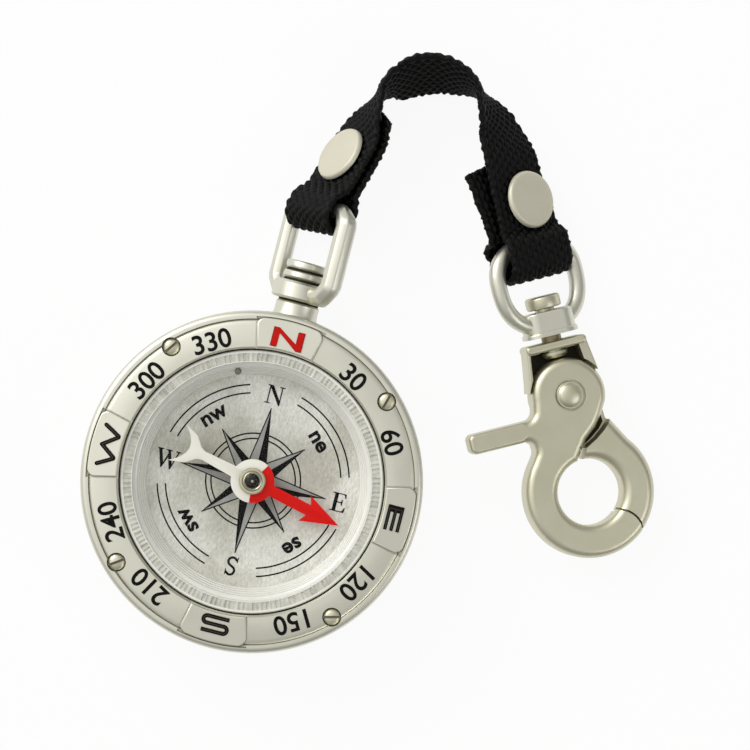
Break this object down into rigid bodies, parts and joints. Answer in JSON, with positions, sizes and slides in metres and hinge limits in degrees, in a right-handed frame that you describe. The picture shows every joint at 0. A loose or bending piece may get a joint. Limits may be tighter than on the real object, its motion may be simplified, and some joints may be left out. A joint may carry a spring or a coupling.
{
  "type": "keychain compass",
  "caption": "Round liquid compass in a satin metal case, hung by a swivelling shackle and a riveted webbing strap from a trigger snap hook.",
  "frame": {"origin": "centre of the case's flat back, where it lies on the table", "axes": "+Z out of the dial, +Y along the neck towards the shackle, +X towards the case's east side"},
  "size_m": [0.0751, 0.0835, 0.0132],
  "materials": {
    "satin_nickel": "satin nickel plate on a zinc casting",
    "bright_steel": "bright nickel plate on steel",
    "clear_acrylic": "clear moulded acrylic",
    "silvered_dial": "silver paint with a fine grain and black print",
    "red_lacquer": "red and white lacquer on steel",
    "brass": "turned brass",
    "black_rubber": "matt",
    "black_webbing": "coarse woven tape",
    "spring_steel": "drawn wire"
  },
  "bodies": {
    "compass": {"case_body": "satin_nickel", "back_cover": "satin_nickel", "bezel_ring": "satin_nickel", "bezel_screw_1": "bright_steel", "bezel_screw_2": "bright_steel", "bezel_screw_3": "bright_steel", "bezel_screw_4": "bright_steel", "capsule_bowl": "clear_acrylic", "capsule_lens": "clear_acrylic", "lens_gasket": "black_rubber", "dial_plate": "silvered_dial", "pivot_pin": "brass", "neck_swivel_pin": "bright_steel", "neck_washer": "bright_steel"},
    "needle": {"needle": "red_lacquer", "needle_hub": "brass"},
    "shackle": {"shackle": "satin_nickel"},
    "strap": {"strap_webbing": "black_webbing", "compass_rivet_cap": "bright_steel", "compass_rivet_back": "bright_steel", "hook_rivet_cap": "bright_steel", "hook_rivet_back": "bright_steel"},
    "eye": {"hook_eye": "satin_nickel"},
    "hook_body": {"hook_frame": "satin_nickel", "hook_swivel_post": "bright_steel", "hook_pivot_rivet": "bright_steel", "trigger_spring": "spring_steel"},
    "trigger": {"hook_trigger": "satin_nickel"}
  },
  "joints": [
    {"name": "needle_spin", "type": "hinge", "parent": "compass", "child": "needle", "pos_m": [0, 0, 0.008], "axis": [0, 0, 1], "continuous": true},
    {"name": "neck_swivel", "type": "hinge", "parent": "compass", "child": "shackle", "pos_m": [0, 0.0256, 0.0066], "axis": [0, 1, 0], "continuous": true},
    {"name": "strap_pivot", "type": "hinge", "parent": "shackle", "child": "strap", "pos_m": [0, 0.0373, 0.0066], "axis": [0.5807, 0, 0.8141], "range_deg": [-5, 35]},
    {"name": "eye_pivot", "type": "hinge", "parent": "strap", "child": "eye", "pos_m": [0.02773, 0.03956, 0.00501], "axis": [0.7319, 0.41, -0.5442], "range_deg": [-15, 12]},
    {"name": "hook_swivel", "type": "hinge", "parent": "eye", "child": "hook_body", "pos_m": [0.03146, 0.03249, 0.0047], "axis": [-0.4665, 0.8837, 0.0384], "continuous": true},
    {"name": "trigger_press", "type": "hinge", "parent": "hook_body", "child": "trigger", "pos_m": [0.0376, 0.02127, 0.00417], "axis": [-0.1712, -0.0476, -0.9841], "range_deg": [0, 22], "stiffness_Nm_per_rad": 0.05, "springref_deg": -17.19}
  ]
}
